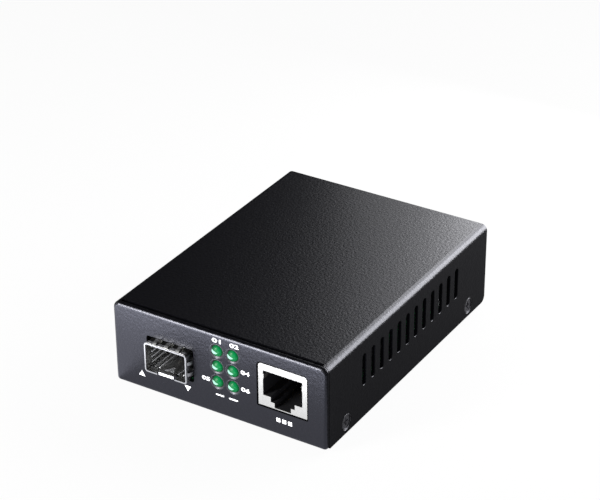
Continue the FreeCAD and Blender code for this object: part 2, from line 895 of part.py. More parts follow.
def led_holder():
    rise = (lamp_rows - 1) / 2 * lamp_pitch_z + lamp_radius + lamp_flange + holder_gap
    holder = block(lamp_x - holder_reach, lamp_x + holder_reach, holder_front, lamp_back,
                   board_top, lamp_z + rise)
    cuts = []
    for x, z in lamp_places():
        cuts.append(rod(x, z, holder_front, lamp_back, lamp_radius + holder_gap))
        cuts.append(rod(x, z, lamp_back - lamp_flange_depth - holder_gap, lamp_back,
                        lamp_radius + lamp_flange + holder_gap))
    return holder.cut(cuts)


def lead_places():
    """Where each lamp's two leads go down: the upper rows reach further back."""
    places = []
    for index, (x, z) in enumerate(lamp_places()):
        row = index // lamp_columns
        y = lamp_back + lead_first + (lamp_rows - 1 - row) * lead_step
        for side in (-1, 1):
            places.append((x + side * lead_spacing / 2, y, z))
    return places


def led_leads():
    leads = []
    half = lead_side / 2
    for x, y, z in lead_places():
        level = block(x - half, x + half, lamp_back, y + half, z - half, z + half)
        drop = block(x - half, x + half, y - half, y + half, solder_end, z + half)
        leads.append(level.fuse(drop).removeSplitter())
    return Part.makeCompound(leads)


# Power inlet

def tab_places():
    """The solder tabs, as x and y limits: two on the centre line and one at the side."""
    near = inlet_front + tab_near
    far = inlet_front + tab_far
    side_x = inlet_left + tab_thickness
    return (
        (inlet_x - tab_width / 2, inlet_x + tab_width / 2, near - tab_thickness, near),
        (inlet_x - tab_width / 2, inlet_x + tab_width / 2, far - tab_thickness, far),
        (side_x, side_x + tab_thickness, (near + far - tab_width) / 2, (near + far + tab_width) / 2),
    )


def dc_jack_housing():
    top = board_top + inlet_height
    nose = slab_y(inlet_left, inlet_right, board_top, top, inlet_face - inlet_nose_depth, inlet_face,
                  (0, 0, inlet_corner, inlet_corner))
    back = slab_y(inlet_left, inlet_right, board_top, top - inlet_shoulder_drop,
                  inlet_front, inlet_face - inlet_nose_depth, (0, 0, inlet_corner, inlet_corner))
    leaf_floor = inlet_z - inlet_socket_radius - leaf_thickness
    leaf_slot = block(inlet_x - leaf_width / 2, inlet_x + leaf_width / 2,
                      socket_end, socket_end + leaf_length, leaf_floor, inlet_z)
    socket = rod(inlet_x, inlet_z, socket_end, inlet_face, inlet_socket_radius)
    return nose.fuse(back).cut([socket, leaf_slot])


def dc_jack_pin():
    tip = inlet_face - inlet_pin_setback
    pin = rod(inlet_x, inlet_z, socket_end, tip, inlet_pin_radius)
    nose = edges_at(pin, lambda point: abs(point.y - tip) < same_place)
    return pin.makeFillet(inlet_pin_radius * 0.6, nose)


def dc_jack_spring():
    z0 = inlet_z - inlet_socket_radius - leaf_thickness
    half = leaf_width / 2 - leaf_gap
    return block(inlet_x - half, inlet_x + half, socket_end, socket_end + leaf_length - leaf_thickness,
                 z0, z0 + leaf_thickness)


def dc_jack_terminals():
    return Part.makeCompound([
        block(x0, x1, y0, y1, solder_end, board_top)
        for x0, x1, y0, y1 in tab_places()
    ])


# Parts on the board

def package(x, y, size, base=None):
    """A moulded or ceramic part standing on the board, with a chamfered top."""
    width, depth, height = size
    z0 = board_top if base is None else base
    body = block(x - width / 2, x + width / 2, y - depth / 2, y + depth / 2, z0, z0 + height)
    crown = edges_at(body, lambda point: abs(point.z - z0 - height) < same_place)
    return body.makeChamfer(min(package_edge, height / 3), crown)


def heat_sink():
    base_z = board_top + chip_height + pad_height
    half = sink_side / 2
    sink = block(chip_x - half, chip_x + half, chip_y - half, chip_y + half, base_z, base_z + sink_height)
    pitch = (sink_side - fin_thickness) / (fin_count - 1)
    gaps = []
    for index in range(fin_count - 1):
        x0 = chip_x - half + fin_thickness + index * pitch
        gaps.append(block(x0, x0 + pitch - fin_thickness, chip_y - half, chip_y + half,
                          base_z + sink_base, base_z + sink_height))
    return sink.cut(gaps)


def electrolytic(x, y):
    """A can with the rolled groove near its base."""
    can = post(x, y, board_top, board_top + electrolytic_height, electrolytic_radius)
    groove_z = board_top + electrolytic_radius / 2
    groove = Part.makeTorus(electrolytic_radius + electrolytic_groove / 2, electrolytic_groove,
                            vector(x, y, groove_z))
    crown = edges_at(can, lambda point: abs(point.z - board_top - electrolytic_height) < same_place)
    return can.makeFillet(electrolytic_groove, crown).cut(groove)


def chip_row(size, count, x, y, along_x, along_y):
    """Chips in a row that is centred on a place, along X or along Y."""
    places = [(index - (count - 1) / 2) * chip_row_pitch for index in range(count)]
    return Part.makeCompound([package(x + place * along_x, y + place * along_y, size) for place in places])


def board_parts():
    memory_y = transformer_rear + memory_gap + memory_size[1] / 2
    can_x = inlet_left - electrolytic_radius - part_gap
    column_x = -board_half + inductor_margin + inductor_size[0] / 2
    column = {}
    y = cage_back + part_gap
    for name, size in (("power_inductor", inductor_size), ("regulator_chip", regulator_size),
                       ("fuse", fuse_size), ("protection_diode", diode_size)):
        column[name] = package(column_x, y + size[1] / 2, size)
        y += size[1] + part_gap
    resistor_y = lamp_back + lead_first + lamp_rows * lead_step + chip_resistor_size[1]
    capacitor_x = chip_x + sink_side / 2 + chip_capacitor_size[0]
    half_pad = pad_side / 2
    pad_base = board_top + chip_height
    return {
        "network_transformer": package(jack_x, (transformer_front + transformer_rear) / 2, transformer_size),
        "converter_chip": package(chip_x, chip_y, (chip_side, chip_side, chip_height)),
        "thermal_pad": block(chip_x - half_pad, chip_x + half_pad, chip_y - half_pad, chip_y + half_pad,
                             pad_base, pad_base + pad_height),
        "heat_sink": heat_sink(),
        "memory_chip": package(jack_x, memory_y, memory_size),
        "crystal": package(chip_x, transformer_front + crystal_size[1] / 2, crystal_size),
        "input_capacitor": electrolytic(can_x, can_y),
        "output_capacitor": electrolytic(can_x - electrolytic_spacing, can_y),
        "chip_resistors": chip_row(chip_resistor_size, resistor_count, lamp_x, resistor_y, 1, 0),
        "chip_capacitors": chip_row(chip_capacitor_size, capacitor_count, capacitor_x, chip_y, 0, 1),
        **column,
    }


def lamps():
    rows = ("upper", "middle", "lower")
    columns = ("left", "right")
    return {
        f"led_{rows[index // lamp_columns]}_{columns[index % lamp_columns]}": lamp(x, z)
        for index, (x, z) in enumerate(lamp_places())
    }


def model():
    nodes = {
        "chassis": chassis(),
        "top_cover": top_cover(),
        "cover_screws": cover_screws(),
        "rubber_feet": rubber_feet(),
        "main_board": main_board(),
        "board_standoffs": board_standoffs(),
        "board_screws": board_screws(),
        "sfp_cage": sfp_cage(),
        "sfp_spring_collar": sfp_spring_collar(),
        "sfp_host_connector": sfp_host_connector(),
        "sfp_contacts": sfp_contacts(),
        "rj45_shield": rj45_shield(),
        "rj45_insert": rj45_insert(),
        "rj45_contacts": rj45_contacts(),
        "led_holder": led_holder(),
        "led_leads": led_leads(),
        "dc_jack_housing": dc_jack_housing(),
        "dc_jack_pin": dc_jack_pin(),
        "dc_jack_spring": dc_jack_spring(),
        "dc_jack_terminals": dc_jack_terminals(),
    }
    nodes.update(lamps())
    nodes.update(board_parts())
    return nodes


os.makedirs("parts", exist_ok=True)
for name, shape in model().items():
    shape.exportStep(os.path.join("parts", name + ".step"))
    box = shape.BoundBox
    print(f"{name}: {len(shape.Solids)} solids, volume {shape.Volume:.1f}, valid {shape.isValid()}, "
          f"x {box.XMin:.2f} to {box.XMax:.2f}, y {box.YMin:.2f} to {box.YMax:.2f}, "
          f"z {box.ZMin:.2f} to {box.ZMax:.2f}")
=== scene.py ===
"""A small fibre media converter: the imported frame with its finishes, its small parts and its studio."""
import logging
import math
from collections.abc import Sequence
from dataclasses import dataclass
from enum import Enum

import bmesh
import bpy
from mathutils import Matrix, Vector


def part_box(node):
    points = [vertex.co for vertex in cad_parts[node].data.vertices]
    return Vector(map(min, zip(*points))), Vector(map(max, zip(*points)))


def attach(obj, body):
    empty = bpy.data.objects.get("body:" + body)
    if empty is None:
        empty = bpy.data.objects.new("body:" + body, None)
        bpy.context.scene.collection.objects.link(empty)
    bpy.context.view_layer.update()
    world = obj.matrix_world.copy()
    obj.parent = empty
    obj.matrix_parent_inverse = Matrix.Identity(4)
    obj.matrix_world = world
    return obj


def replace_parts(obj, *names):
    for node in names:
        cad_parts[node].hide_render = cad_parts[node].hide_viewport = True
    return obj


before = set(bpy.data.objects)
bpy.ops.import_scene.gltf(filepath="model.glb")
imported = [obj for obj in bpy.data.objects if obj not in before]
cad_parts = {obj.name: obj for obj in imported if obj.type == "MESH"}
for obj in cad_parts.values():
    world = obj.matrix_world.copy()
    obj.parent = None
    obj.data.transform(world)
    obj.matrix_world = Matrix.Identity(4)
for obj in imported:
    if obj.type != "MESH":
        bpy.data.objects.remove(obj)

logging.basicConfig(level=logging.INFO, format="%(name)s: %(message)s")
log = logging.getLogger("converter")

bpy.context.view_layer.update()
MM = 0.001
WHITE = "#ffffff"
CARD_WHITE = "#e8eaf6"
LENS_PLACE = "lens_place"
LENS_RADIUS = 1.78
MERGE_GAP = 0.001
SHARP_ANGLE = 40.0
# The sRGB standard's curve from code to light: straight up to the knee, and a power above it.
SRGB_KNEE, SRGB_SLOPE, SRGB_OFFSET, SRGB_POWER = 0.04045, 12.92, 0.055, 2.4
# Some nodes have one set of sockets for each kind of value, all under the same names, so these go by number.
MIX_SHARE, MIX_FLOAT_A, MIX_FLOAT_B, MIX_COLOR_A, MIX_COLOR_B, MIXED_COLOR = 0, 2, 3, 6, 7, 2
RANDOM_LOW, RANDOM_HIGH, RANDOM_FLOAT = 2, 3, 1

Point = tuple[float, float, float]
Pair = tuple[float, float]
Socket = bpy.types.NodeSocket


def linear(code: str) -> tuple[float, float, float, float]:
    """Turn an sRGB hex colour into the linear colour that the nodes take.

    Args:
        code: The colour as a hash sign and six hex digits.

    Returns:
        Red, green, blue and an alpha of 1.
    """
    channels = [int(code[start:start + 2], 16) / 255 for start in (1, 3, 5)]
    red, green, blue = (
        value / SRGB_SLOPE if value <= SRGB_KNEE
        else ((value + SRGB_OFFSET) / (1 + SRGB_OFFSET)) ** SRGB_POWER for value in channels)
    return red, green, blue, 1.0


def add_node(tree: bpy.types.NodeTree, kind: str, settings: dict | None = None,
             inputs: dict | None = None) -> bpy.types.Node:
    """Add a node with its settings and its inputs, and link the inputs that are given a socket.

    Args:
        tree: The tree that gets the node.
        kind: The node's type.
        settings: The node's own properties, by name.
        inputs: A value or another node's output for each input, by the input's name or number.

    Returns:
        The new node.
    """
    node = tree.nodes.new(kind)
    for name, value in (settings or {}).items():
        setattr(node, name, value)
    for key, value in (inputs or {}).items():
        if isinstance(value, Socket):
            tree.links.new(value, node.inputs[key])
        else:
            node.inputs[key].default_value = value
    return node


@dataclass(frozen=True)
class Finish:
    """What every finish has: a name, a colour, a gloss, and a fine pattern in the surface.

    The grain is the size of the pattern in millimetres along each axis, so that a rolled sheet's
    pattern can be long and a moulded one's even. The shade is a second colour that the pattern mixes in,
    and the relief is the pattern's height in millimetres.
    """

    name: str
    color: str
    shade: str
    roughness: float
    roughness_spread: float
    grain: Point
    relief: float
    metallic: float = 0.0
    ior: float = 1.5
    coat: float = 0.0
    coat_roughness: float = 0.08
    pattern_detail: float = 3.0
    pattern_roughness: float = 0.55

    def material(self) -> bpy.types.Material:
        """Return the finish's material, made on its first use.

        Returns:
            The material with its nodes.
        """
        known = bpy.data.materials.get(self.name)
        if known:
            return known
        made = bpy.data.materials.new(self.name)
        made.use_nodes = True
        tree = made.node_tree
        tree.nodes.clear()
        place = add_node(tree, "ShaderNodeTexCoord")
        mapped = add_node(tree, "ShaderNodeMapping", inputs={
            "Vector": place.outputs["Object"], "Scale": tuple(1 / (size * MM) for size in self.grain)})
        noise = add_node(tree, "ShaderNodeTexNoise", inputs={
            "Vector": mapped.outputs["Vector"], "Scale": 1.0,
            "Detail": self.pattern_detail, "Roughness": self.pattern_roughness})
        pattern = noise.outputs["Fac"]
        shader = add_node(tree, "ShaderNodeBsdfPrincipled", inputs={
            "Base Color": self.colored(tree, pattern),
            "Roughness": self.gloss(tree, pattern),
            "Normal": self.bumped(tree, pattern),
            "Metallic": self.metallic, "Coat Weight": self.coat,
            "Coat Roughness": self.coat_roughness})
        if self.metallic < 1:
            shader.inputs["IOR"].default_value = self.ior
        self.finish_shader(shader)
        add_node(tree, "ShaderNodeOutputMaterial", inputs={"Surface": shader.outputs["BSDF"]})
        made.diffuse_color = linear(self.color)
        return made

    def colored(self, tree: bpy.types.NodeTree, pattern: Socket) -> Socket:
        """Mix the second colour in where the pattern is high.

        Args:
            tree: The material's tree.
            pattern: The pattern's value.

        Returns:
            The colour's socket.
        """
        mix = add_node(tree, "ShaderNodeMix", {"data_type": "RGBA"}, {
            MIX_SHARE: pattern, MIX_COLOR_A: linear(self.color), MIX_COLOR_B: linear(self.shade)})
        return mix.outputs[MIXED_COLOR]

    def gloss(self, tree: bpy.types.NodeTree, pattern: Socket) -> Socket:
        """Spread the roughness a little with the pattern.

        Args:
            tree: The material's tree.
            pattern: The pattern's value.

        Returns:
            The roughness's socket.
        """
        spread = add_node(tree, "ShaderNodeMapRange", inputs={
            "Value": pattern, "To Min": self.roughness - self.roughness_spread,
            "To Max": self.roughness + self.roughness_spread})
        return spread.outputs["Result"]

    def bumped(self, tree: bpy.types.NodeTree, pattern: Socket) -> Socket:
        """Raise the surface by the pattern.

        Args:
            tree: The material's tree.
            pattern: The pattern's value.

        Returns:
            The normal's socket.
        """
        bump = add_node(tree, "ShaderNodeBump", inputs={
            "Height": pattern, "Strength": 1.0, "Distance": self.relief * MM})
        return bump.outputs["Normal"]

    def finish_shader(self, shader: bpy.types.Node) -> None:
        """Set what only this finish has on its shader; most finishes have nothing more."""

    def dress(self, piece: bpy.types.Object) -> None:
        """Put the finish on a piece or on a CAD node, in all its material slots."""
        piece.data.materials.clear()
        piece.data.materials.append(self.material())


@dataclass(frozen=True)
class CoatFinish(Finish):
    """A baked powder coat, whose skin gives the light back a little cooler than it came."""

    skin: str = "#f0f1ff"

    def finish_shader(self, shader: bpy.types.Node) -> None:
        """Tint the skin's reflection."""
        shader.inputs["Specular Tint"].default_value = linear(self.skin)


@dataclass(frozen=True)
class LensFinish(Finish):
    """A tinted lens: painted shade at its left rim, painted highlight brighter to the right, and a pale
    painted highlight inside it below the tip.

    Its colour goes by the place on the lens, in radii from the lens's axis. The painted shading changes from
    the colour to the shade over painted_shading_span along painted_shading_way. The painted highlight is an
    oval that ends at oval_edge, and it is cut off above, over highlight_span along highlight_way.
    """

    # The pale colour of the painted highlight.
    glow: str = "#86b39f"
    painted_shading_way: Point = (0.8, 0.0, 0.3)
    painted_shading_span: Pair = (-0.75, 0.8)
    highlight_way: Point = (-0.33, 0.0, -0.944)
    highlight_span: Pair = (-0.13, -0.05)
    oval_scale: Point = (1.33, 0.0, 2.5)
    oval_shift: Point = (0.37, 0.0, -0.05)
    oval_edge: Pair = (0.8, 1.0)

    def colored(self, tree: bpy.types.NodeTree, pattern: Socket) -> Socket:
        """Colour by the place on the lens.

        Args:
            tree: The material's tree.
            pattern: The pattern's value, which a lens's colour doesn't need.

        Returns:
            The colour's socket.
        """
        stored = add_node(tree, "ShaderNodeAttribute", {"attribute_name": LENS_PLACE})
        scaled = add_node(tree, "ShaderNodeVectorMath", {"operation": "SCALE"}, {
            0: stored.outputs["Vector"], "Scale": 1 / (LENS_RADIUS * MM)})
        shares = []
        for way, (start, end) in ((self.painted_shading_way, self.painted_shading_span), (self.highlight_way, self.highlight_span)):
            along = add_node(tree, "ShaderNodeVectorMath", {"operation": "DOT_PRODUCT"}, {
                0: scaled.outputs["Vector"], 1: way})
            share = add_node(tree, "ShaderNodeMapRange", {"interpolation_type": "SMOOTHSTEP"}, {
                "Value": along.outputs["Value"], "From Min": start, "From Max": end})
            shares.append(share.outputs["Result"])
        painted_shading_share, highlight_share = shares
        # Painted shade and highlight: the green darkens to the left and lightens to the right.
        painted_shading = add_node(tree, "ShaderNodeMix", {"data_type": "RGBA"}, {
            MIX_SHARE: painted_shading_share, MIX_COLOR_A: linear(self.color), MIX_COLOR_B: linear(self.shade)})
        # Painted highlight: a pale oval low on the left of the lens, cut off above.
        oval = add_node(tree, "ShaderNodeVectorMath", {"operation": "MULTIPLY_ADD"}, {
            0: scaled.outputs["Vector"], 1: self.oval_scale, 2: self.oval_shift})
        reach = add_node(tree, "ShaderNodeVectorMath", {"operation": "LENGTH"}, {0: oval.outputs["Vector"]})
        inner = add_node(tree, "ShaderNodeMapRange", {"interpolation_type": "SMOOTHSTEP"}, {
            "Value": reach.outputs["Value"], "From Min": self.oval_edge[0], "From Max": self.oval_edge[1],
            "To Min": 1.0, "To Max": 0.0})
        highlight_mask = add_node(tree, "ShaderNodeMath", {"operation": "MULTIPLY"}, {
            0: highlight_share, 1: inner.outputs["Result"]})
        mix = add_node(tree, "ShaderNodeMix", {"data_type": "RGBA"}, {
            MIX_SHARE: highlight_mask.outputs[0], MIX_COLOR_A: painted_shading.outputs[MIXED_COLOR],
            MIX_COLOR_B: linear(self.glow)})
        return mix.outputs[MIXED_COLOR]


# Powder coat is sprayed on steel as dry powder and baked, which leaves an even satin skin with a fine
# orange-peel grain. Its grain of about 0.3 mm is drawn at 0.8 mm, so that it shows in the render.
POWDER_COAT = CoatFinish("powder_coated_steel", "#050507", "#09090c", 0.30, 0.03, (0.8, 0.8, 0.8), 0.075)
# Where the coat is thin over a cut edge, the steel shows through as a satin grey.
WORN_EDGE = Finish("thin_coat_edge", "#5c5c60", "#3c3c40", 0.46, 0.08, (0.5, 0.5, 0.5), 0.004, metallic=0.8)
# Black zinc on the screws is thin and a little glossier than the coat around it.
BLACK_ZINC = Finish("black_zinc_plated_steel", "#8c8c92", "#6e6e74", 0.34, 0.06, (0.3, 0.3, 0.3), 0.006,
                    metallic=0.9)
# Natural rubber feet are matt and a little dusty.
RUBBER = Finish("moulded_rubber", "#161616", "#222222", 0.82, 0.06, (0.5, 0.5, 0.5), 0.02)
# Solder mask is a green lacquer over copper and glass fibre, so it is glossy with soft unevenness.
SOLDER_MASK = Finish("green_solder_mask", "#0a3d20", "#0f5029", 0.28, 0.06, (1.6, 1.6, 0.4), 0.012, coat=0.3)
# Bright nickel on cold-rolled steel: it keeps the strip's rolling lines along the cage.
NICKEL = Finish("nickel_plated_steel", "#d8d8d6", "#bebebd", 0.30, 0.06, (0.25, 6.0, 0.25), 0.003,
                metallic=1.0)
# The spring collar's nickel is duller, as it is plated after it is hardened.
SPRING_NICKEL = Finish("nickel_plated_spring_steel", "#a9a9a8", "#8e8e8e", 0.42, 0.06, (0.3, 2.0, 0.3), 0.004,
                       metallic=1.0)
# Tin on a drawn shield is paler and softer than nickel.
TIN = Finish("tin_plated_shield", "#d9d8d1", "#cdccc5", 0.38, 0.05, (0.4, 0.4, 3.0), 0.003, metallic=1.0)
# Zinc on turned standoffs, screws and pins is satin.
ZINC = Finish("zinc_plated_steel", "#b9babd", "#a4a5a9", 0.33, 0.07, (0.4, 0.4, 0.4), 0.004, metallic=1.0)
# Hard gold on contacts is thin and warm.
GOLD = Finish("gold_plated_contacts", "#e0b05a", "#cf9c48", 0.22, 0.04, (0.2, 0.6, 0.2), 0.001, metallic=1.0)
# Glass-filled nylon of connectors: moulded black with a faint spark-eroded texture.
NYLON = Finish("moulded_black_nylon", "#131315", "#1d1d20", 0.48, 0.06, (0.25, 0.25, 0.25), 0.006)
# Moulding epoxy of chips is matt and dark grey.
EPOXY = Finish("moulding_epoxy", "#202022", "#2a2a2c", 0.62, 0.05, (0.3, 0.3, 0.3), 0.008)
# Silicone pad under the heat sink: pale grey-blue and soft.
SILICONE = Finish("silicone_pad", "#7c8794", "#8d97a2", 0.7, 0.05, (0.6, 0.6, 0.6), 0.01)
# Extruded and anodised aluminium has faint lines along its draw.
ALUMINIUM = Finish("anodised_aluminium", "#b8babd", "#a3a5a9", 0.38, 0.06, (0.3, 5.0, 0.3), 0.004,
                   metallic=1.0)
# Fired ceramic capacitors are tan and dull.
CERAMIC = Finish("fired_ceramic", "#b59368", "#a5845b", 0.55, 0.06, (0.3, 0.3, 0.3), 0.004)
# Tinted epoxy lenses of the lamps are clear green all through. Their cast domes blur what they mirror. Their
# colour holds painted shade and painted highlight, darker at the left and lighter to the right, and a pale
# painted highlight low on the left.
LENS = LensFinish("tinted_lamp_lens", "#012c13", "#04713a", 0.36, 0.03, (0.8, 0.8, 0.8), 0.001, ior=1.25)
# White screen ink lies thin and matt on the coat.
INK = Finish("white_screen_ink", "#f2f2f2", "#e6e6e6", 0.55, 0.05, (0.3, 0.3, 0.3), 0.001)
# Solder-levelled copper on the board is bright tin with soft waves. The chips' legs, the solder joints
# and the pressed ribs of the cage share it.
PAD_TIN = Finish("tinned_board_pad", "#f0f1f3", "#dcdde0", 0.5, 0.05, (1.2, 1.2, 1.2), 0.004, metallic=0.6)

NODE_FINISHES: dict[Finish, tuple[str, ...]] = {
    POWDER_COAT: ("chassis", "top_cover"),
    BLACK_ZINC: ("cover_screws",),
    RUBBER: ("rubber_feet",),
    SOLDER_MASK: ("main_board",),
    NICKEL: ("sfp_cage",),
    SPRING_NICKEL: ("sfp_spring_collar",),
    TIN: ("rj45_shield",),
    ZINC: ("board_standoffs", "board_screws", "led_leads", "dc_jack_pin", "dc_jack_spring",
           "dc_jack_terminals", "crystal"),
    GOLD: ("sfp_contacts", "rj45_contacts"),
    NYLON: ("sfp_host_connector", "rj45_insert", "led_holder", "dc_jack_housing"),
    EPOXY: ("network_transformer", "converter_chip", "memory_chip", "power_inductor", "regulator_chip",
            "fuse", "protection_diode", "chip_resistors"),
    SILICONE: ("thermal_pad",),
    ALUMINIUM: ("heat_sink", "input_capacitor", "output_capacitor"),
    CERAMIC: ("chip_capacitors",),
    LENS: ("led_upper_left", "led_upper_right", "led_middle_left", "led_middle_right",
           "led_lower_left", "led_lower_right"),
}
LAMP_NODES = NODE_FINISHES[LENS]


@dataclass(frozen=True)
class Lamp:
    """A soft studio lamp: where it stands, what it points at, its width and height, and its power.

    A lamp whose mirrored is False lights the surfaces but doesn't show in them.
    """

    name: str
    place: Point
    target: Point
    size: Pair
    power: float
    color: str = WHITE
    mirrored: bool = True

    def build(self) -> None:
        """Add the lamp, hidden from the camera itself."""
        data = bpy.data.lights.new(self.name, "AREA")
        data.shape = "RECTANGLE"
        data.size, data.size_y = self.size
        data.energy = self.power
        data.color = linear(self.color)[:3]
        lamp = bpy.data.objects.new(self.name, data)
        lamp.location = self.place
        away = Vector(self.place) - Vector(self.target)
        lamp.rotation_euler = away.to_track_quat("Z", "Y").to_euler()
        lamp.visible_camera = False
        lamp.visible_glossy = self.mirrored
        bpy.context.scene.collection.objects.link(lamp)


@dataclass
class Studio:
    """The pale floor, the white surroundings, the soft lamps and the camera.

    The floor is paper with a share of glow, floor_lift. The glow's strength is floor_white to the camera
    and floor_gloss to gloss and glass. The surroundings are white to the camera and light the object by
    ambient. Gloss sees them by horizon towards bright_side and by far_side elsewhere, and they fade
    to ceiling between the two fade_angles.
    """

    floor_size: float = 3.0
    floor_color: str = "#5a5a5a"
    floor_lift: float = 0.65
    floor_gloss: float = 0.06
    floor_white: float = 1.45
    ambient: float = 0.06
    horizon: float = 0.6
    far_side: float = 0.04
    ceiling: float = 0.04
    fade_angles: Pair = (15.0, 42.0)
    bright_side: Point = (-0.75, -0.66, 0.0)
    bright_span: Pair = (0.1, 0.8)
    camera_place: Point = (0.2728415, -0.4422179, 0.3268138)
    camera_azimuth: float = 31.77999
    camera_elevation: float = 29.52329
    camera_roll: float = -0.41162
    lens: float = 122.888
    sensor_width: float = 36.0
    clip_start: float = 0.01
    lamps: tuple[Lamp, ...] = (
        Lamp("rear_softbox", (0.04, 0.19, 0.14), (0.04, 0.0, 0.14), (0.17, 0.24), 0.72),
        Lamp("rear_soft_edge", (-0.07, 0.19, 0.14), (-0.07, 0.0, 0.14), (0.05, 0.24), 0.04),
        Lamp("side_softbox", (0.22, 0.22, 0.135), (0.035, 0.0, 0.027), (0.24, 0.24), 1.75),
        Lamp("key_softbox", (-0.26, -0.50, 0.205), (0.0, 0.0, 0.02), (0.16, 0.38), 6.4),
        Lamp("left_card", (-0.10, -0.100, 0.002), (-0.10, -0.100, 0.1), (0.13, 0.11), 0.095, CARD_WHITE),
        Lamp("right_card", (0.015, -0.100, 0.002), (0.015, -0.100, 0.1), (0.10, 0.11), 0.030, CARD_WHITE),
        Lamp("front_band", (-0.025, -0.108, 0.003), (-0.025, -0.108, 0.1), (0.13, 0.046), 0.15, CARD_WHITE),
        Lamp("right_fill", (0.32, -0.44, 0.09), (0.0, -0.04, 0.02), (0.20, 0.14), 1.2, mirrored=False),
    )

    def build(self) -> None:
        """Build the whole studio."""
        self.build_floor()
        self.build_world()
        for lamp in self.lamps:
            lamp.build()
        self.build_camera()
        bpy.context.scene.view_settings.view_transform = "Standard"
        log.info("studio: floor, world, %d lamps and the camera", len(self.lamps))

    def rays(self, tree: bpy.types.NodeTree) -> tuple[Socket, Socket]:
        """Tell apart what the camera sees and what gloss or glass sees.

        Args:
            tree: The tree of the floor's material or of the surroundings.

        Returns:
            A socket that is 1 for the camera's rays, and one that is 1 for the rays of gloss and glass.
        """
        path = add_node(tree, "ShaderNodeLightPath")
        gloss = add_node(tree, "ShaderNodeMath", {"operation": "MAXIMUM"}, {
            0: path.outputs["Is Glossy Ray"], 1: path.outputs["Is Transmission Ray"]})
        return path.outputs["Is Camera Ray"], gloss.outputs[0]

    def build_floor(self) -> None:
        """Lay the floor: pale board whose shadows stay, and which the camera sees as white elsewhere."""
        half = self.floor_size / 2
        corners = [(-half, -half, 0), (half, -half, 0), (half, half, 0), (-half, half, 0)]
        mesh = bpy.data.meshes.new("floor")
        mesh.from_pydata(corners, [], [(0, 1, 2, 3)])
        floor = bpy.data.objects.new("floor", mesh)
        bpy.context.scene.collection.objects.link(floor)
        made = bpy.data.materials.new("pale_paper_floor")
        made.use_nodes = True
        tree = made.node_tree
        tree.nodes.clear()
        paper = add_node(tree, "ShaderNodeBsdfDiffuse", inputs={"Color": linear(self.floor_color)})
        camera, gloss = self.rays(tree)
        soft = add_node(tree, "ShaderNodeMath", {"operation": "MULTIPLY"}, {0: gloss, 1: self.floor_gloss})
        lift = add_node(tree, "ShaderNodeMath", {"operation": "MULTIPLY_ADD"}, {
            0: camera, 1: self.floor_white, 2: soft.outputs[0]})
        glow = add_node(tree, "ShaderNodeEmission", inputs={
            "Color": linear(WHITE), "Strength": lift.outputs[0]})
        both = add_node(tree, "ShaderNodeMixShader", inputs={
            "Fac": self.floor_lift, 1: paper.outputs["BSDF"], 2: glow.outputs["Emission"]})
        add_node(tree, "ShaderNodeOutputMaterial", inputs={"Surface": both.outputs["Shader"]})
        mesh.materials.append(made)

    def build_world(self) -> None:
        """Make the surroundings white to the camera, bright to gloss near the horizon, and dim as a light."""
        world = bpy.data.worlds.new("studio")
        bpy.context.scene.world = world
        world.use_nodes = True
        tree = world.node_tree
        tree.nodes.clear()
        direction = add_node(tree, "ShaderNodeTexCoord")
        height = add_node(tree, "ShaderNodeSeparateXYZ", inputs={"Vector": direction.outputs["Generated"]})
        low, high = (math.sin(math.radians(angle)) for angle in self.fade_angles)
        fade = add_node(tree, "ShaderNodeMapRange", {"interpolation_type": "SMOOTHSTEP"}, {
            "Value": height.outputs["Z"], "From Min": low, "From Max": high,
            "To Min": 1.0, "To Max": self.ceiling})
        side = add_node(tree, "ShaderNodeVectorMath", {"operation": "DOT_PRODUCT"}, {
            0: direction.outputs["Generated"], 1: self.bright_side})
        turned = add_node(tree, "ShaderNodeMapRange", {"interpolation_type": "SMOOTHSTEP"}, {
            "Value": side.outputs["Value"], "From Min": self.bright_span[0], "From Max": self.bright_span[1],
            "To Min": self.far_side, "To Max": self.horizon})
        seen = add_node(tree, "ShaderNodeMath", {"operation": "MULTIPLY"}, {
            0: fade.outputs["Result"], 1: turned.outputs["Result"]})
        camera, gloss = self.rays(tree)
        unseen = add_node(tree, "ShaderNodeMix", {"data_type": "FLOAT"}, {
            MIX_SHARE: gloss, MIX_FLOAT_A: self.ambient, MIX_FLOAT_B: seen.outputs[0]})
        strength = add_node(tree, "ShaderNodeMix", {"data_type": "FLOAT"}, {
            MIX_SHARE: camera, MIX_FLOAT_A: unseen.outputs[0], MIX_FLOAT_B: 1.0})
        background = add_node(tree, "ShaderNodeBackground", inputs={
            "Color": linear(WHITE), "Strength": strength.outputs[0]})
        add_node(tree, "ShaderNodeOutputWorld", inputs={"Surface": background.outputs["Background"]})

    def build_camera(self) -> None:
        """Stand the camera where the photograph was taken from."""
        azimuth, elevation, roll = (
            math.radians(angle) for angle in (self.camera_azimuth, self.camera_elevation, self.camera_roll))
        back = Vector((math.sin(azimuth) * math.cos(elevation),
                       -math.cos(azimuth) * math.cos(elevation), math.sin(elevation)))
        level = Vector((math.cos(azimuth), math.sin(azimuth), 0))
        up = back.cross(level)
        right = math.cos(roll) * level + math.sin(roll) * up
        data = bpy.data.cameras.new("camera")
        data.lens = self.lens
        data.sensor_width = self.sensor_width
        data.clip_start = self.clip_start
        camera = bpy.data.objects.new("camera", data)
        turn = Matrix((right, back.cross(right), back)).transposed()
        camera.matrix_world = Matrix.Translation(self.camera_place) @ turn.to_4x4()
        bpy.context.scene.collection.objects.link(camera)
        bpy.context.scene.camera = camera


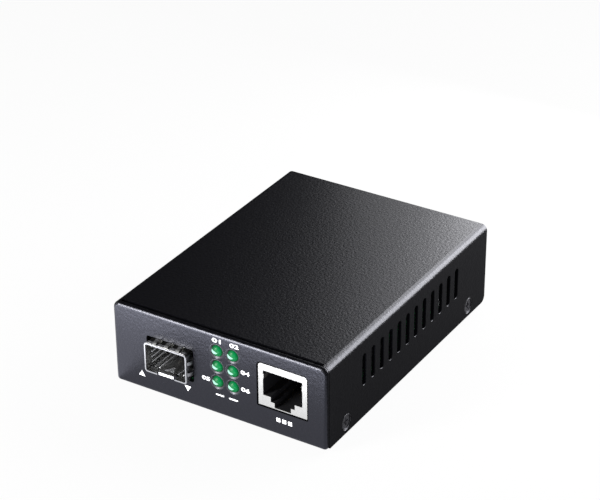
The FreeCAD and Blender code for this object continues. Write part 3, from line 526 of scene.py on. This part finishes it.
def grown(name: str, tree: bpy.types.NodeTree, values: dict[str, object]) -> bpy.types.Object:
    """Run a geometry tree once with the given inputs and keep what it makes as a plain mesh.

    Args:
        name: The new piece's name.
        tree: The geometry tree.
        values: The value of each of the tree's named inputs.

    Returns:
        The piece, at the origin, with no modifier left.
    """
    piece = bpy.data.objects.new(name, bpy.data.meshes.new(name))
    bpy.context.scene.collection.objects.link(piece)
    modifier = piece.modifiers.new("growth", "NODES")
    modifier.node_group = tree
    for item in tree.interface.items_tree:
        if item.in_out == "INPUT" and item.name in values:
            modifier[item.identifier] = values[item.name]
    plain = evaluated_mesh(piece)
    piece.modifiers.remove(modifier)
    piece.data = plain
    return piece


def evaluated_mesh(host: bpy.types.Object) -> bpy.types.Mesh:
    """Return a plain mesh of an object as it is after its modifiers."""
    bpy.context.view_layer.update()
    return bpy.data.meshes.new_from_object(host.evaluated_get(bpy.context.evaluated_depsgraph_get()))


def placed(piece: bpy.types.Object) -> None:
    """Let a finished piece ride on the converter.

    Args:
        piece: The piece.
    """
    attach(piece, "root")
    log.info("%s: %d faces", piece.name, len(piece.data.polygons))


@dataclass
class Grid:
    """One small solid repeated on a grid by a geometry tree.

    The columns run along X. The rows run along Y on a flat grid and along Z on an upright one.
    """

    name: str
    finish: Finish
    slot: str
    place: Point
    columns: int
    rows: int = 1
    column_pitch: float = 1.0
    row_pitch: float = 1.0
    upright: bool = False
    turn_spread: float = 0.0
    seed: int = 7

    def source(self, tree: bpy.types.NodeTree, given: bpy.types.Node) -> Socket:
        """Return the socket of the solid to repeat, made round its own middle.

        Args:
            tree: The geometry tree.
            given: The tree's input node.

        Returns:
            The solid's geometry socket.
        """
        raise NotImplementedError

    def values(self) -> dict[str, object]:
        """Return the values of the tree's named inputs."""
        return {"Columns": self.columns, "Rows": self.rows, "Column Pitch": self.column_pitch * MM,
                "Row Pitch": self.row_pitch * MM, "Turn Spread": math.radians(self.turn_spread),
                "Seed": self.seed}

    def tree(self) -> bpy.types.NodeTree:
        """Build the geometry tree: a grid of points with the solid on each.

        Returns:
            The tree.
        """
        tree = bpy.data.node_groups.new(self.name, "GeometryNodeTree")
        for name, value in self.values().items():
            kind = {int: "NodeSocketInt", float: "NodeSocketFloat"}.get(type(value), "NodeSocketObject")
            tree.interface.new_socket(name, in_out="INPUT", socket_type=kind)
        tree.interface.new_socket("Geometry", in_out="OUTPUT", socket_type="NodeSocketGeometry")
        given = add_node(tree, "NodeGroupInput")
        spans = []
        for count, pitch in (("Columns", "Column Pitch"), ("Rows", "Row Pitch")):
            gaps = add_node(tree, "ShaderNodeMath", {"operation": "SUBTRACT"}, {
                0: given.outputs[count], 1: 1.0})
            span = add_node(tree, "ShaderNodeMath", {"operation": "MULTIPLY"}, {
                0: gaps.outputs[0], 1: given.outputs[pitch]})
            spans.append(span.outputs[0])
        grid = add_node(tree, "GeometryNodeMeshGrid", inputs={
            "Size X": spans[0], "Size Y": spans[1],
            "Vertices X": given.outputs["Columns"], "Vertices Y": given.outputs["Rows"]})
        stood = add_node(tree, "GeometryNodeTransform", inputs={
            "Geometry": grid.outputs["Mesh"], "Translation": tuple(value * MM for value in self.place),
            "Rotation": (math.pi / 2 if self.upright else 0.0, 0.0, 0.0)})
        less = add_node(tree, "ShaderNodeMath", {"operation": "MULTIPLY"}, {
            0: given.outputs["Turn Spread"], 1: -1.0})
        turn = add_node(tree, "FunctionNodeRandomValue", {"data_type": "FLOAT"}, {
            RANDOM_LOW: less.outputs[0], RANDOM_HIGH: given.outputs["Turn Spread"],
            "Seed": given.outputs["Seed"]})
        axes = add_node(tree, "ShaderNodeCombineXYZ", inputs={
            "Y" if self.upright else "Z": turn.outputs[RANDOM_FLOAT]})
        copies = add_node(tree, "GeometryNodeInstanceOnPoints", inputs={
            "Points": stood.outputs["Geometry"], "Instance": self.source(tree, given),
            "Rotation": axes.outputs["Vector"]})
        whole = add_node(tree, "GeometryNodeRealizeInstances", inputs={
            "Geometry": copies.outputs["Instances"]})
        dressed = add_node(tree, "GeometryNodeSetMaterial", inputs={
            "Geometry": whole.outputs["Geometry"], "Material": self.finish.material()})
        add_node(tree, "NodeGroupOutput", inputs={"Geometry": dressed.outputs["Geometry"]})
        return tree

    def build(self) -> bpy.types.Object:
        """Grow the piece and place it on the converter.

        Returns:
            The piece.
        """
        piece = grown(self.name, self.tree(), self.values())
        self.finish.dress(piece)
        placed(piece)
        return piece


@dataclass
class BarGrid(Grid):
    """Straight bars, such as ribs and legs, all of one size."""

    size: Point = (1.0, 1.0, 1.0)

    def source(self, tree: bpy.types.NodeTree, given: bpy.types.Node) -> Socket:
        """Return a box of the bars' size; see the base class for the arguments."""
        bar = add_node(tree, "GeometryNodeMeshCube", inputs={
            "Size": tuple(value * MM for value in self.size)})
        return bar.outputs["Mesh"]


@dataclass
class JointGrid(Grid):
    """Solder joints: low cones that stand on their tips, round the pins that come through the board."""

    radius: float = 0.8
    tip_radius: float = 0.25
    height: float = 0.7
    facets: int = 14

    def source(self, tree: bpy.types.NodeTree, given: bpy.types.Node) -> Socket:
        """Return a cone that hangs from the board; see the base class for the arguments."""
        cone = add_node(tree, "GeometryNodeMeshCone", inputs={
            "Vertices": self.facets, "Radius Top": self.radius * MM, "Radius Bottom": self.tip_radius * MM,
            "Depth": self.height * MM})
        return cone.outputs["Mesh"]


@dataclass
class RingGrid(Grid):
    """Round rims where a hole or a countersink breaks the face of a wall."""

    ring_radius: float = 2.0
    wire_radius: float = 0.1
    facets: int = 32
    wire_facets: int = 8
    stand: Point = (0.0, math.pi / 2, 0.0)

    def source(self, tree: bpy.types.NodeTree, given: bpy.types.Node) -> Socket:
        """Return a ring of round wire, stood up to face along X.

        Args:
            tree: The geometry tree.
            given: The tree's input node, which a ring doesn't use.

        Returns:
            The ring's geometry socket.
        """
        path = add_node(tree, "GeometryNodeCurvePrimitiveCircle", inputs={
            "Resolution": self.facets, "Radius": self.ring_radius * MM})
        wire = add_node(tree, "GeometryNodeCurvePrimitiveCircle", inputs={
            "Resolution": self.wire_facets, "Radius": self.wire_radius * MM})
        ring = add_node(tree, "GeometryNodeCurveToMesh", inputs={
            "Curve": path.outputs["Curve"], "Profile Curve": wire.outputs["Curve"]})
        stood = add_node(tree, "GeometryNodeTransform", inputs={
            "Geometry": ring.outputs["Mesh"], "Rotation": self.stand})
        return stood.outputs["Geometry"]


@dataclass
class TurnedGrid(Grid):
    """A solid turned round the Y axis and repeated, with its own coordinates stored on it."""

    facets: int = 40
    ring: bool = False
    turned: bpy.types.Object | None = None

    def profile(self) -> list[Pair]:
        """Return the radius and the depth along +Y of the turned outline, in millimetres."""
        raise NotImplementedError

    def source(self, tree: bpy.types.NodeTree, given: bpy.types.Node) -> Socket:
        """Return the turned solid with its own coordinates stored.

        Args:
            tree: The geometry tree.
            given: The tree's input node.

        Returns:
            The solid's geometry socket.
        """
        taken = add_node(tree, "GeometryNodeObjectInfo", inputs={"Object": given.outputs["Turned"]})
        here = add_node(tree, "GeometryNodeInputPosition")
        stored = add_node(tree, "GeometryNodeStoreNamedAttribute", {"data_type": "FLOAT_VECTOR"}, {
            "Geometry": taken.outputs["Geometry"], "Name": LENS_PLACE, "Value": here.outputs["Position"]})
        return stored.outputs["Geometry"]

    def values(self) -> dict[str, object]:
        """Return the values of the tree's named inputs, with the solid to repeat."""
        return {**super().values(), "Turned": self.turned}

    def build(self) -> bpy.types.Object:
        """Turn the solid, grow the piece from it and place it.

        Returns:
            The piece.
        """
        mesh = turned_mesh(f"{self.name}_form", self.profile(), self.facets, self.ring)
        self.turned = bpy.data.objects.new(mesh.name, mesh)
        self.finish.dress(self.turned)
        bpy.context.scene.collection.objects.link(self.turned)
        piece = super().build()
        bpy.data.objects.remove(self.turned)
        return piece


@dataclass
class LensGrid(TurnedGrid):
    """The six lamp lenses: a domed nose, a straight body and a flange at the back of each."""

    radius: float = LENS_RADIUS
    dome: float = 1.25
    length: float = 6.0
    flange: float = 0.3
    flange_depth: float = 1.0
    rings: int = 10

    def profile(self) -> list[Pair]:
        """Draw the lens's outline from its tip to the middle of its back.

        Returns:
            Pairs of radius and depth, in millimetres.
        """
        nose = []
        for ring in range(self.rings + 1):
            angle = math.pi / 2 * ring / self.rings
            nose.append((self.radius * math.sin(angle), self.dome * (1 - math.cos(angle))))
        wide = self.radius + self.flange
        start = self.length - self.flange_depth
        return nose + [(self.radius, start), (wide, start), (wide, self.length), (0.0, self.length)]


@dataclass
class DishGrid(TurnedGrid):
    """The dished rims round the lamp holes, where the punch drew the face of the sheet in."""

    outer: float = 2.4
    crest: float = 2.3
    inner: float = 1.82
    proud: float = 0.02
    depth: float = 0.36
    thickness: float = 0.1
    back_step: float = 0.05

    def profile(self) -> list[Pair]:
        """Return the rim's closed outline, in millimetres."""
        return [(self.outer, self.proud), (self.crest, 0.0), (self.inner, self.depth),
                (self.inner + self.thickness, self.depth + self.back_step),
                (self.outer, self.proud + self.thickness)]


def turned_mesh(name: str, profile: Sequence[Pair], facets: int, ring: bool) -> bpy.types.Mesh:
    """Turn a profile round the Y axis into a closed, smooth solid.

    Args:
        name: The mesh's name.
        profile: Pairs of radius and depth along +Y in millimetres, from axis to axis or round a section.
        facets: How many faces go round.
        ring: Whether the profile is a ring's section, whose last corner joins its first.

    Returns:
        The mesh.
    """
    form = bmesh.new()
    corners = [form.verts.new((radius * MM, depth * MM, 0)) for radius, depth in profile]
    ends = corners[1:] + corners[:1] if ring else corners[1:]
    edges = [form.edges.new(pair) for pair in zip(corners, ends)]
    bmesh.ops.spin(form, geom=corners + edges, cent=(0, 0, 0), axis=(0, 1, 0), angle=math.tau,
                   steps=facets)
    bmesh.ops.remove_doubles(form, verts=form.verts, dist=MERGE_GAP * MM)
    bmesh.ops.recalc_face_normals(form, faces=form.faces)
    sharp = math.radians(SHARP_ANGLE)
    for edge in form.edges:
        edge.smooth = len(edge.link_faces) == 2 and edge.calc_face_angle() < sharp
    for face in form.faces:
        face.smooth = True
    mesh = bpy.data.meshes.new(name)
    form.to_mesh(mesh)
    form.free()
    return mesh


class Sign(Enum):
    """The plain shapes that stand beside the numbers."""

    BAR = "bar"
    INWARD = "inward"
    OUTWARD = "outward"

    def outline(self) -> list[Pair]:
        """Return the shape's corners in a square of one by one.

        Returns:
            The corners in order, from the lower left.
        """
        if self is Sign.BAR:
            return [(0.0, 0.0), (1.0, 0.0), (1.0, 1.0), (0.0, 1.0)]
        if self is Sign.INWARD:
            return [(0.0, 1.0), (0.5, 0.0), (1.0, 1.0)]
        return [(0.0, 0.0), (1.0, 0.0), (0.5, 1.0)]


@dataclass(frozen=True)
class Mark:
    """A plain number or a plain shape in white ink, with its lower left corner and its size in X and Z."""

    form: str | Sign
    corner: Pair
    size: Pair


@dataclass
class Print:
    """The screen print on the front: plain numbers at the lamps, and plain shapes at the ports.

    The digits and the shapes are made with depths of their own, and then fitted to the ink's thickness.
    """

    front_y: float = -46.0
    ink: float = 0.03
    sunk: float = 0.02
    weight: float = 0.03
    digit_depth: float = 0.02
    digit_steps: int = 3
    shape_depth: float = 0.1
    merge_gap: float = 0.0005
    marks: tuple[Mark, ...] = (
        Mark("01", (-1.6, 25.35), (3.0, 1.35)),
        Mark("02", (4.3, 25.35), (3.0, 1.35)),
        Mark("05", (-5.3, 11.8), (2.7, 1.3)),
        Mark("04", (7.8, 17.7), (2.9, 1.35)),
        Mark("06", (7.8, 12.1), (2.9, 1.35)),
        Mark(Sign.BAR, (-0.7, 8.0), (2.7, 0.5)),
        Mark(Sign.BAR, (3.7, 8.0), (2.9, 0.5)),
        Mark(Sign.BAR, (19.3, 6.0), (1.3, 1.3)),
        Mark(Sign.BAR, (21.2, 6.0), (1.3, 1.3)),
        Mark(Sign.BAR, (23.1, 6.0), (1.3, 1.3)),
        Mark(Sign.OUTWARD, (-27.3, 5.9), (2.2, 1.8)),
        Mark(Sign.INWARD, (-11.4, 5.9), (2.2, 1.8)),
    )

    def number(self, digits: str) -> bpy.types.Mesh:
        """Make digits as a thin raised mesh in the XY plane.

        Args:
            digits: The digits.

        Returns:
            Their mesh.
        """
        curve = bpy.data.curves.new("digits", "FONT")
        curve.body = digits
        curve.extrude = self.digit_depth
        curve.offset = self.weight
        curve.resolution_u = self.digit_steps
        host = bpy.data.objects.new("digits", curve)
        bpy.context.scene.collection.objects.link(host)
        mesh = evaluated_mesh(host)
        bpy.data.objects.remove(host)
        return mesh

    def shape(self, sign: Sign) -> bpy.types.Mesh:
        """Make a plain shape as a thin raised mesh in the XY plane.

        Args:
            sign: The shape.

        Returns:
            Its mesh.
        """
        form = bmesh.new()
        face = form.faces.new([form.verts.new((x, y, 0)) for x, y in sign.outline()])
        risen = bmesh.ops.extrude_face_region(form, geom=[face])
        top = [part for part in risen["geom"] if isinstance(part, bmesh.types.BMVert)]
        bmesh.ops.translate(form, vec=(0, 0, self.shape_depth), verts=top)
        bmesh.ops.recalc_face_normals(form, faces=form.faces)
        mesh = bpy.data.meshes.new(sign.value)
        form.to_mesh(mesh)
        form.free()
        return mesh

    def fitted(self, mark: Mark) -> bpy.types.Mesh:
        """Fit a mark's mesh into its place on the front.

        Args:
            mark: The mark.

        Returns:
            The mark in place, a little sunk into the coat and a little proud of it.
        """
        mesh = self.shape(mark.form) if isinstance(mark.form, Sign) else self.number(mark.form)
        low, high = (Vector([end(vertex.co[axis] for vertex in mesh.vertices) for axis in range(3)])
                     for end in (min, max))
        span = high - low
        fit = Matrix.Diagonal((mark.size[0] / span.x, mark.size[1] / span.y,
                               (self.ink + self.sunk) / span.z, 1.0))
        start = Matrix.Translation((*mark.corner, -self.sunk))
        stand = Matrix.Translation((0, self.front_y, 0)) @ Matrix.Rotation(math.pi / 2, 4, "X")
        mesh.transform(Matrix.Scale(MM, 4) @ stand @ start @ fit @ Matrix.Translation(-low))
        return mesh

    def build(self) -> None:
        """Print all the marks as one piece."""
        form = bmesh.new()
        for mark in self.marks:
            form.from_mesh(self.fitted(mark))
        bmesh.ops.remove_doubles(form, verts=form.verts, dist=self.merge_gap * MM)
        bmesh.ops.recalc_face_normals(form, faces=form.faces)
        mesh = bpy.data.meshes.new("front_print")
        form.to_mesh(mesh)
        form.free()
        piece = bpy.data.objects.new(mesh.name, mesh)
        bpy.context.scene.collection.objects.link(piece)
        INK.dress(piece)
        placed(piece)


@dataclass
class LampBlock:
    """The six lamps in the front wall: their lenses, and the dished holes that they stand in."""

    middle_x: float = 2.461
    middle_z: float = 17.455
    tip_y: float = -46.75
    rim_y: float = -46.03
    columns: int = 2
    rows: int = 3
    column_pitch: float = 5.2
    row_pitch: float = 5.07

    def build(self) -> None:
        """Build the lenses, which stand for the lamp nodes, and the rims of their holes."""
        steps = (self.columns, self.rows, self.column_pitch, self.row_pitch)
        lenses = LensGrid("lamp_lenses", LENS, "lamp_green", (self.middle_x, self.tip_y, self.middle_z),
                          *steps, upright=True)
        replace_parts(lenses.build(), *LAMP_NODES)
        DishGrid("lamp_hole_rims", WORN_EDGE, "steel", (self.middle_x, self.rim_y, self.middle_z),
                 *steps, upright=True, ring=True).build()


@dataclass
class ModulePort:
    """What the port has besides its cage: pressed ribs along its walls, and a tinned pad under it.

    A rib's section is its width and its height.
    """

    middle: float = -16.089
    left: float = -22.84
    front: float = -45.5
    depth: float = 24.0
    floor: float = 10.25
    board_top: float = 9.8
    wall_ribs: int = 4
    wall_rib_pitch: float = 1.7
    wall_rib_section: Pair = (0.14, 0.32)
    wall_rib_inset: float = 0.06
    wall_rib_z: float = 14.0
    floor_ribs: int = 2
    floor_rib_pitch: float = 1.5
    floor_rib_section: Pair = (0.3, 0.12)
    floor_rib_lift: float = 0.04
    floor_rib_offset: float = 4.9
    pad: Point = (12.6, 26.0, 0.03)

    def build(self) -> None:
        """Build the ribs and the pad."""
        along = self.front + self.depth / 2
        width, height = self.wall_rib_section
        BarGrid("cage_wall_ribs", PAD_TIN, "cage", (self.left + self.wall_rib_inset, along, self.wall_rib_z),
                1, self.wall_ribs, row_pitch=self.wall_rib_pitch, upright=True,
                size=(width, self.depth, height)).build()
        width, height = self.floor_rib_section
        for side, offset in (("left", -self.floor_rib_offset), ("right", self.floor_rib_offset)):
            place = (self.middle + offset, along, self.floor + self.floor_rib_lift)
            BarGrid(f"cage_floor_ribs_{side}", PAD_TIN, "cage", place, self.floor_ribs,
                    column_pitch=self.floor_rib_pitch, size=(width, self.depth, height)).build()
        _, length, thickness = self.pad
        place = (self.middle, self.front + length / 2, self.board_top + thickness / 2)
        BarGrid("cage_ground_pad", PAD_TIN, "plated_steel", place, 1, size=self.pad).build()


@dataclass(frozen=True)
class LegRows:
    """The legs along two opposite sides of a chip: how many on each side, how far apart, and which way."""

    node: str
    count: int
    pitch: float
    along_x: bool = True


@dataclass
class BoardDetail:
    """Legs of the chips and solder joints of the leads, placed by the boxes of what they belong to."""

    leg_width: float = 0.28
    leg_reach: float = 0.9
    leg_thickness: float = 0.16
    leg_gap: float = 0.01
    leg_rows: tuple[LegRows, ...] = (
        LegRows("converter_chip", 24, 0.5),
        LegRows("converter_chip", 24, 0.5, along_x=False),
        LegRows("network_transformer", 12, 1.27),
        LegRows("memory_chip", 4, 1.27),
        LegRows("regulator_chip", 4, 1.27),
    )
    board_under: float = 8.2
    lamp_x: Pair = (-0.139, 5.061)
    lead_y: float = -38.55
    leads: int = 2
    lead_spacing: float = 2.0
    lead_rows: int = 3
    lead_step: float = 1.3
    joint_radius: float = 0.6
    joint_height: float = 0.6
    joint_turn: float = 20.0

    def box(self, node: str) -> tuple[Vector, Vector, Vector]:
        """Return a node's lowest corner, highest corner and middle, in millimetres."""
        low, high = (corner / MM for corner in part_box(node))
        return low, high, (low + high) / 2

    def legs(self, rows: LegRows) -> None:
        """Set a row of legs along each of two opposite sides of a part.

        Args:
            rows: The rows and the part that has them.
        """
        low, high, middle = self.box(rows.node)
        place = (middle.x, middle.y, low.z + self.leg_thickness / 2 + self.leg_gap)
        reach = self.leg_reach / 2
        if rows.along_x:
            BarGrid(f"{rows.node}_legs_x", PAD_TIN, "plated_steel", place,
                    rows.count, 2, rows.pitch, high.y - low.y + reach,
                    size=(self.leg_width, self.leg_reach, self.leg_thickness)).build()
        else:
            BarGrid(f"{rows.node}_legs_y", PAD_TIN, "plated_steel", place,
                    2, rows.count, high.x - low.x + reach, rows.pitch,
                    size=(self.leg_reach, self.leg_width, self.leg_thickness)).build()

    def build(self) -> None:
        """Build the legs, and the joints under the lamps' leads."""
        for rows in self.leg_rows:
            self.legs(rows)
        for side, lamp_x in zip(("left", "right"), self.lamp_x):
            place = (lamp_x, self.lead_y, self.board_under - self.joint_height)
            JointGrid(f"lead_joints_{side}", PAD_TIN, "plated_steel", place, self.leads, self.lead_rows,
                      self.lead_spacing, self.lead_step, turn_spread=self.joint_turn,
                      radius=self.joint_radius, height=self.joint_height).build()


@dataclass
class CountersinkRims:
    """The rims of the four countersinks in the cover's sides, where the coat is thin."""

    middle_y: float = 1.25
    height: float = 5.2
    across: float = 70.66
    along: float = 72.9
    radius: float = 2.3
    wire: float = 0.16

    def build(self) -> None:
        """Build the rims: two in each side."""
        RingGrid("countersink_rims", WORN_EDGE, "steel", (0.0, self.middle_y, self.height), 2, 2,
                 self.across, self.along, ring_radius=self.radius, wire_radius=self.wire).build()


def dress_nodes() -> None:
    """Give every CAD node its finish."""
    for finish, nodes in NODE_FINISHES.items():
        for node in nodes:
            finish.dress(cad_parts[node])
        log.info("%s on %s", finish.name, ", ".join(nodes))


def main() -> None:
    """Build the dressed part and its studio in order."""
    dress_nodes()
    for part in (LampBlock(), Print(), ModulePort(), BoardDetail(), CountersinkRims(), Studio()):
        part.build()


if __name__ == "__main__":
    main()
